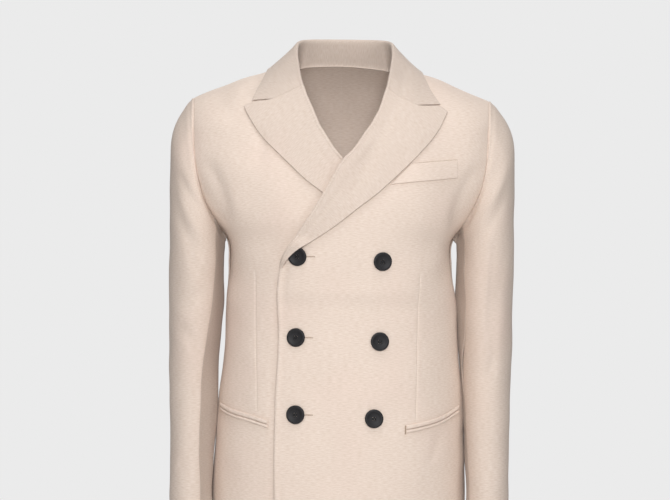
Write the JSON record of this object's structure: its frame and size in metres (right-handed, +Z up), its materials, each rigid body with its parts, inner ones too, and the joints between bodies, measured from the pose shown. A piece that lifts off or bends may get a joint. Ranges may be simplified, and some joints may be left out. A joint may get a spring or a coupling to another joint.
{
  "type": "double breasted blazer",
  "caption": "Double breasted blazer in beige woven cloth, worn form, with peaked lapels, collar, breast welt, slanting jetted hip pockets, dark buttons, and open neck, hem and cuffs.",
  "frame": {"origin": "between the two shoulders, on the shoulder line in side view, at the height of the neck points; the wearer's shoulders carry the blazer there", "axes": "+Z up, +X towards the wearer's left, the front faces -Y"},
  "size_m": [0.5147, 0.2846, 0.7884],
  "materials": {
    "front_left": "matte woven",
    "front_right": "matte woven",
    "back_left": "matte woven",
    "back_right": "matte woven",
    "sleeve_top_left": "matte woven",
    "sleeve_top_right": "matte woven",
    "sleeve_under_left": "matte woven",
    "sleeve_under_right": "matte woven",
    "lapel_left": "matte woven",
    "lapel_right": "matte woven",
    "collar": "matte woven",
    "breast_welt": "matte woven",
    "pocket_jet_upper_left": "matte woven",
    "pocket_jet_lower_left": "matte woven",
    "pocket_jet_upper_right": "matte woven",
    "pocket_jet_lower_right": "matte woven",
    "button_1": "satin",
    "button_2": "satin",
    "button_3": "satin",
    "button_4": "satin",
    "button_5": "satin",
    "button_6": "satin"
  },
  "bodies": {
    "root": {"front_left": "front_left", "front_right": "front_right", "back_left": "back_left", "back_right": "back_right", "sleeve_top_left": "sleeve_top_left", "sleeve_top_right": "sleeve_top_right", "sleeve_under_left": "sleeve_under_left", "sleeve_under_right": "sleeve_under_right", "lapel_left": "lapel_left", "lapel_right": "lapel_right", "collar": "collar", "breast_welt": "breast_welt", "pocket_jet_upper_left": "pocket_jet_upper_left", "pocket_jet_lower_left": "pocket_jet_lower_left", "pocket_jet_upper_right": "pocket_jet_upper_right", "pocket_jet_lower_right": "pocket_jet_lower_right", "button_1": "button_1", "button_2": "button_2", "button_3": "button_3", "button_4": "button_4", "button_5": "button_5", "button_6": "button_6"}
  },
  "joints": []
}
